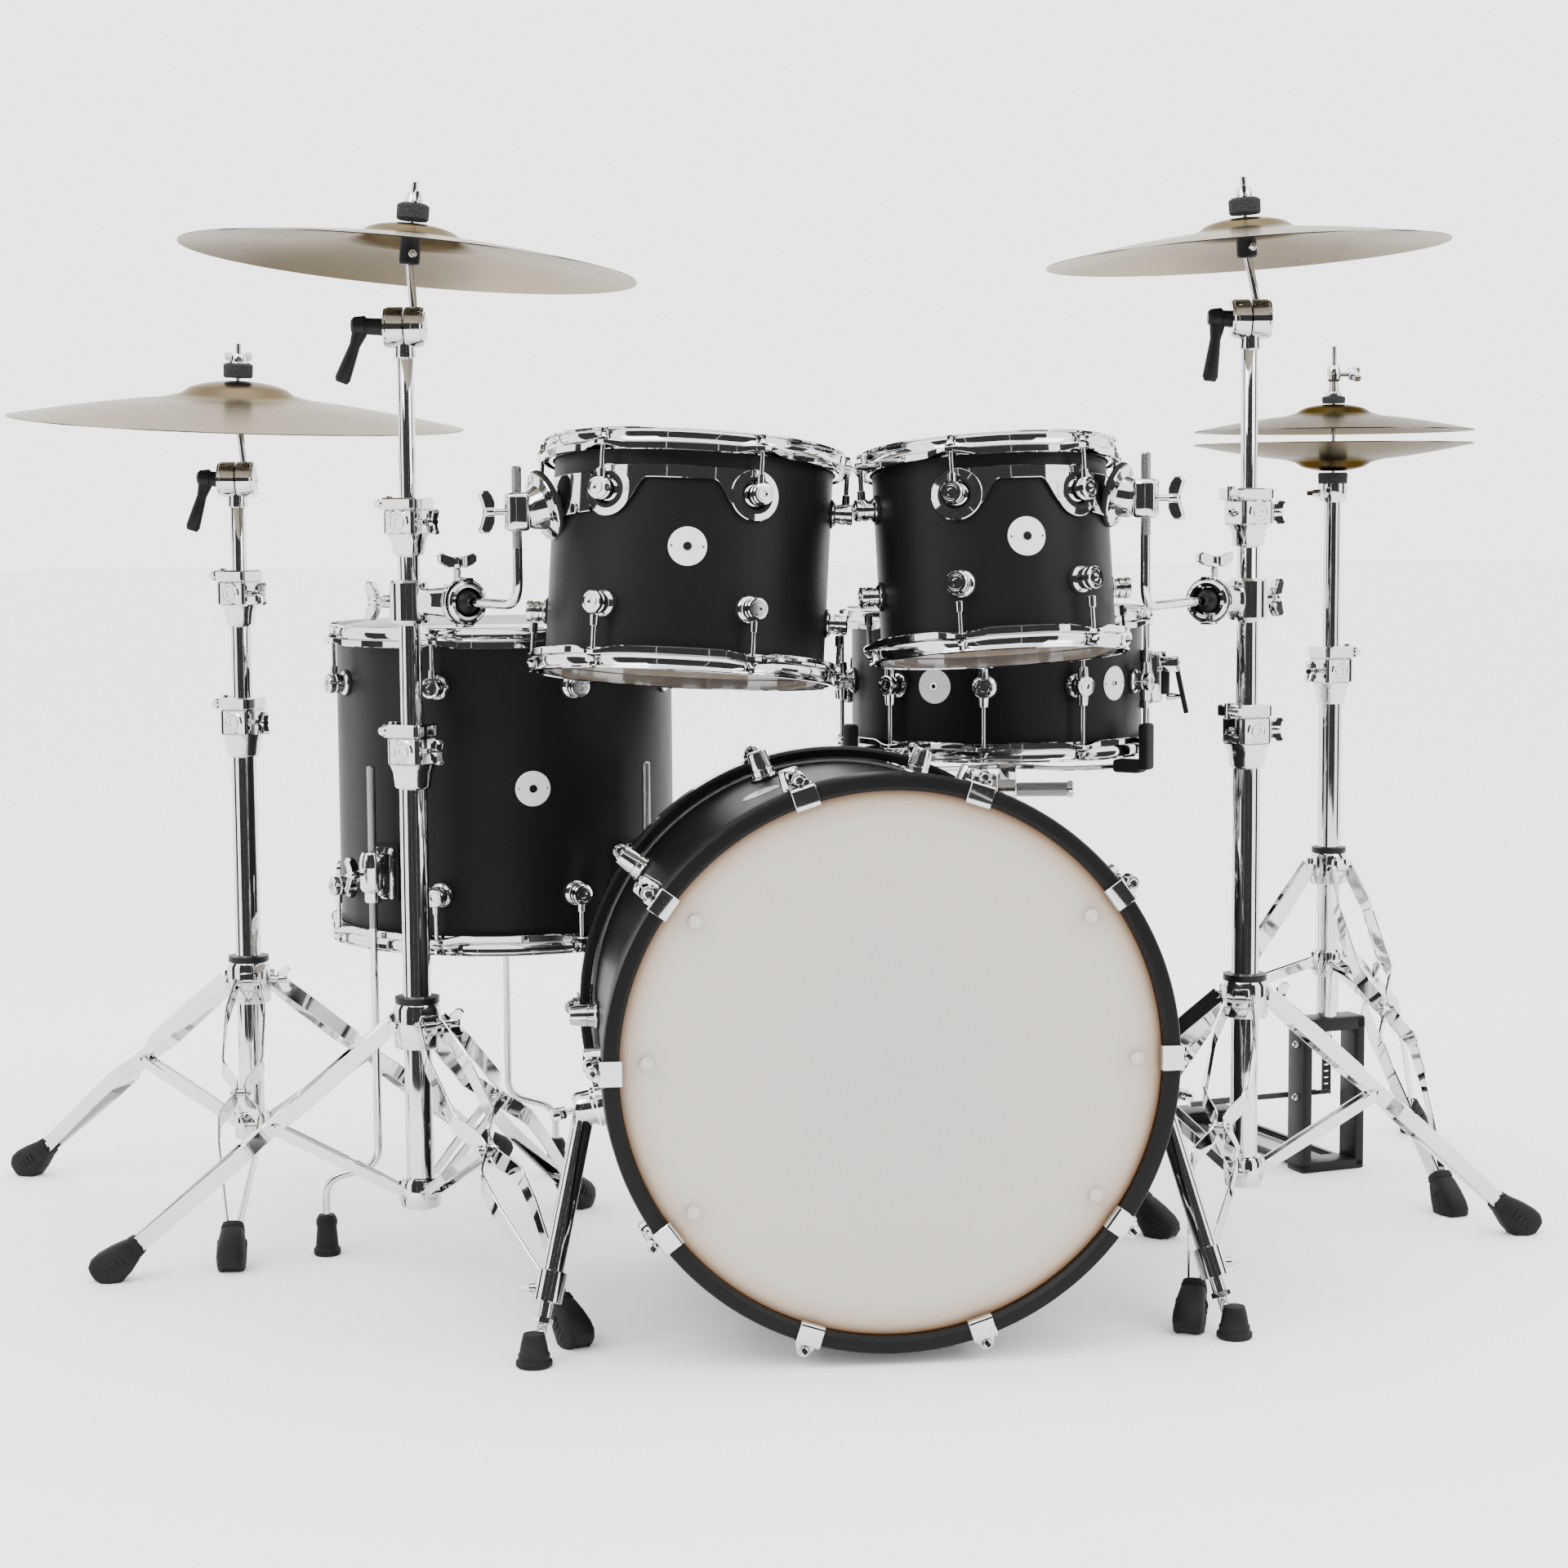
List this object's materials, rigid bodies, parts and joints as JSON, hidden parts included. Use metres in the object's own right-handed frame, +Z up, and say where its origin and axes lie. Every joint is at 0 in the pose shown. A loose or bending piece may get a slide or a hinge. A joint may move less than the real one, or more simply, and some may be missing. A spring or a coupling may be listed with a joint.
{
  "type": "acoustic drum kit",
  "caption": "Acoustic drum kit with bass drum, rack toms, floor tom, snare, cymbals and hi-hat on chromed tripod stands, satin black shells.",
  "frame": {"origin": "middle of the kit's plan box, on the floor", "axes": "+Z up, +Y from the audience side to the player, +X to the right as the audience sees it"},
  "size_m": [1.9329, 1.2553, 1.2399],
  "materials": {
    "black_shell": "satin black lacquer over a wooden shell",
    "black_hoop": "satin black lacquered wooden hoop with a bright inlay on the rear one",
    "chrome": "polished chrome plate",
    "ivory_head": "smooth ivory film, brown at the edge",
    "coated_head": "white sprayed coating",
    "clear_head": "clear film",
    "cymbal_bronze": "brushed bronze with lathed grooves",
    "black_metal": "black powder coat"
  },
  "bodies": {
    "floor_set": {"bass_shell": "black_shell", "bass_front_hoop": "black_hoop", "bass_rear_hoop": "black_hoop", "bass_front_head": "ivory_head", "bass_batter_head": "coated_head", "floor_tom_shell": "black_shell", "floor_tom_top_hoop": "chrome", "floor_tom_bottom_hoop": "chrome", "floor_tom_top_head": "coated_head", "floor_tom_bottom_head": "clear_head", "ride_stand_base": "chrome", "left_crash_stand_base": "chrome", "right_crash_stand_base": "chrome", "hihat_stand_base": "chrome", "hihat_bottom_cymbal": "cymbal_bronze", "snare_stand_base": "chrome"},
    "spur_left": {"spur_left": "chrome"},
    "spur_right": {"spur_right": "chrome"},
    "floor_tom_leg_1": {"floor_tom_leg_1": "chrome"},
    "floor_tom_leg_2": {"floor_tom_leg_2": "chrome"},
    "floor_tom_leg_3": {"floor_tom_leg_3": "chrome"},
    "ride_middle_tube": {"ride_middle_tube": "chrome"},
    "ride_upper_tube": {"ride_upper_tube": "chrome"},
    "ride_tilter": {"ride_tilter": "chrome"},
    "ride_cymbal": {"ride_cymbal": "cymbal_bronze"},
    "left_crash_middle_tube": {"left_crash_middle_tube": "chrome"},
    "left_crash_upper_tube": {"left_crash_upper_tube": "chrome"},
    "left_crash_tilter": {"left_crash_tilter": "chrome"},
    "left_crash_cymbal": {"left_crash_cymbal": "cymbal_bronze"},
    "right_crash_middle_tube": {"right_crash_middle_tube": "chrome"},
    "right_crash_upper_tube": {"right_crash_upper_tube": "chrome"},
    "right_crash_tilter": {"right_crash_tilter": "chrome"},
    "right_crash_cymbal": {"right_crash_cymbal": "cymbal_bronze"},
    "tom12_clamp": {"tom12_clamp": "chrome"},
    "tom12_arm": {"tom12_arm": "chrome"},
    "tom12": {"tom12_shell": "black_shell", "tom12_top_hoop": "chrome", "tom12_bottom_hoop": "chrome", "tom12_top_head": "coated_head", "tom12_bottom_head": "clear_head", "tom12_mount": "chrome"},
    "tom10_clamp": {"tom10_clamp": "chrome"},
    "tom10_arm": {"tom10_arm": "chrome"},
    "tom10": {"tom10_shell": "black_shell", "tom10_top_hoop": "chrome", "tom10_bottom_hoop": "chrome", "tom10_top_head": "coated_head", "tom10_bottom_head": "clear_head", "tom10_mount": "chrome"},
    "hihat_footboard": {"hihat_footboard": "black_metal"},
    "hihat_pull_rod": {"hihat_pull_rod": "chrome", "hihat_top_cymbal": "cymbal_bronze"},
    "snare_stand_post": {"snare_stand_post": "chrome"},
    "snare": {"snare_basket": "chrome", "snare_shell": "black_shell", "snare_top_hoop": "chrome", "snare_bottom_hoop": "chrome", "snare_top_head": "coated_head", "snare_bottom_head": "clear_head"},
    "snare_strainer_lever": {"snare_strainer_lever": "black_metal"}
  },
  "joints": [
    {"name": "spur_left_fold", "type": "hinge", "parent": "floor_set", "child": "spur_left", "pos_m": [-0.1396, -0.47474, 0.24942], "axis": [-0.9744, -0.119, -0.1908], "range_deg": [0, 55]},
    {"name": "spur_right_fold", "type": "hinge", "parent": "floor_set", "child": "spur_right", "pos_m": [0.44883, -0.4053, 0.24942], "axis": [-0.9753, -0.1111, 0.1908], "range_deg": [0, 55]},
    {"name": "floor_tom_leg_1_height", "type": "slide", "parent": "floor_set", "child": "floor_tom_leg_1", "axis": [0, 0, 1], "range_m": [0, 0.1]},
    {"name": "floor_tom_leg_2_height", "type": "slide", "parent": "floor_set", "child": "floor_tom_leg_2", "axis": [0, 0, 1], "range_m": [0, 0.1]},
    {"name": "floor_tom_leg_3_height", "type": "slide", "parent": "floor_set", "child": "floor_tom_leg_3", "axis": [0, 0, 1], "range_m": [0, 0.1]},
    {"name": "ride_middle_height", "type": "slide", "parent": "floor_set", "child": "ride_middle_tube", "axis": [0, 0, 1], "range_m": [-0.05, 0.015]},
    {"name": "ride_upper_height", "type": "slide", "parent": "ride_middle_tube", "child": "ride_upper_tube", "axis": [0, 0, 1], "range_m": [-0.05, 0.015]},
    {"name": "ride_tilt", "type": "hinge", "parent": "ride_upper_tube", "child": "ride_tilter", "pos_m": [-0.6197, 0.1636, 0.9134], "axis": [1, 0, 0], "range_deg": [-8, 8]},
    {"name": "ride_rock", "type": "hinge", "parent": "ride_tilter", "child": "ride_cymbal", "pos_m": [-0.61404, 0.15522, 1.03358], "axis": [0, 1, 0], "range_deg": [-4, 4], "stiffness_Nm_per_rad": 4, "springref_deg": 0.69},
    {"name": "left_crash_middle_height", "type": "slide", "parent": "floor_set", "child": "left_crash_middle_tube", "axis": [0, 0, 1], "range_m": [-0.01, 0.03]},
    {"name": "left_crash_upper_height", "type": "slide", "parent": "left_crash_middle_tube", "child": "left_crash_upper_tube", "axis": [0, 0, 1], "range_m": [-0.01, 0.06]},
    {"name": "left_crash_tilt", "type": "hinge", "parent": "left_crash_upper_tube", "child": "left_crash_tilter", "pos_m": [-0.3592, -0.2114, 1.0772], "axis": [1, 0, 0], "range_deg": [-8, 8]},
    {"name": "left_crash_rock", "type": "hinge", "parent": "left_crash_tilter", "child": "left_crash_cymbal", "pos_m": [-0.34939, -0.20747, 1.18971], "axis": [0, 1, 0], "range_deg": [-4, 4], "stiffness_Nm_per_rad": 4, "springref_deg": 0.92},
    {"name": "right_crash_middle_height", "type": "slide", "parent": "floor_set", "child": "right_crash_middle_tube", "axis": [0, 0, 1], "range_m": [-0.01, 0.05]},
    {"name": "right_crash_upper_height", "type": "slide", "parent": "right_crash_middle_tube", "child": "right_crash_upper_tube", "axis": [0, 0, 1], "range_m": [-0.02, 0.05]},
    {"name": "right_crash_tilt", "type": "hinge", "parent": "right_crash_upper_tube", "child": "right_crash_tilter", "pos_m": [0.5963, -0.1314, 1.0849], "axis": [1, 0, 0], "range_deg": [-8, 8]},
    {"name": "right_crash_rock", "type": "hinge", "parent": "right_crash_tilter", "child": "right_crash_cymbal", "pos_m": [0.58981, -0.13042, 1.19771], "axis": [0, 1, 0], "range_deg": [-4, 4], "stiffness_Nm_per_rad": 4, "springref_deg": -0.46},
    {"name": "tom12_clamp_turn", "type": "hinge", "parent": "left_crash_middle_tube", "child": "tom12_clamp", "pos_m": [-0.3592, -0.2114, 0.772], "axis": [0, 0, 1], "range_deg": [-8, 0]},
    {"name": "tom12_arm_tilt", "type": "hinge", "parent": "tom12_clamp", "child": "tom12_arm", "pos_m": [-0.2927, -0.2514, 0.772], "axis": [0.5645, -0.8254, 0], "range_deg": [-3, 1]},
    {"name": "tom12_height", "type": "slide", "parent": "tom12_arm", "child": "tom12", "axis": [0, 0, 1], "range_m": [-0.01, 0.01]},
    {"name": "tom10_clamp_turn", "type": "hinge", "parent": "right_crash_middle_tube", "child": "tom10_clamp", "pos_m": [0.5963, -0.1314, 0.766], "axis": [0, 0, 1], "range_deg": [0, 8]},
    {"name": "tom10_arm_tilt", "type": "hinge", "parent": "tom10_clamp", "child": "tom10_arm", "pos_m": [0.5438, -0.1814, 0.766], "axis": [-0.4467, -0.8947, 0], "range_deg": [-5, 0]},
    {"name": "tom10_height", "type": "slide", "parent": "tom10_arm", "child": "tom10", "axis": [0, 0, 1], "range_m": [-0.01, 0.01]},
    {"name": "hihat_pedal", "type": "hinge", "parent": "floor_set", "child": "hihat_footboard", "pos_m": [0.66217, 0.56619, 0.034], "axis": [0.9272, 0.3746, 0], "range_deg": [0, 3]},
    {"name": "hihat_pull", "type": "slide", "parent": "floor_set", "child": "hihat_pull_rod", "axis": [0, 0, -1], "range_m": [0, 0.0131], "stiffness_N_per_m": 2400, "springref_m": -0.02},
    {"name": "snare_stand_height", "type": "slide", "parent": "floor_set", "child": "snare_stand_post", "axis": [0, 0, 1], "range_m": [0, 0.03]},
    {"name": "snare_tilt", "type": "hinge", "parent": "snare_stand_post", "child": "snare", "pos_m": [0.3228, 0.0936, 0.525], "axis": [1, 0, 0], "range_deg": [-5, 0]},
    {"name": "snare_throw_off", "type": "hinge", "parent": "snare", "child": "snare_strainer_lever", "pos_m": [0.53865, 0.06096, 0.6832], "axis": [-0.1495, -0.9888, 0], "range_deg": [0, 55]}
  ],
  "couplings": [
    {"joint": "hihat_pull", "follows": "hihat_pedal", "m_per_rad": 0.249}
  ]
}
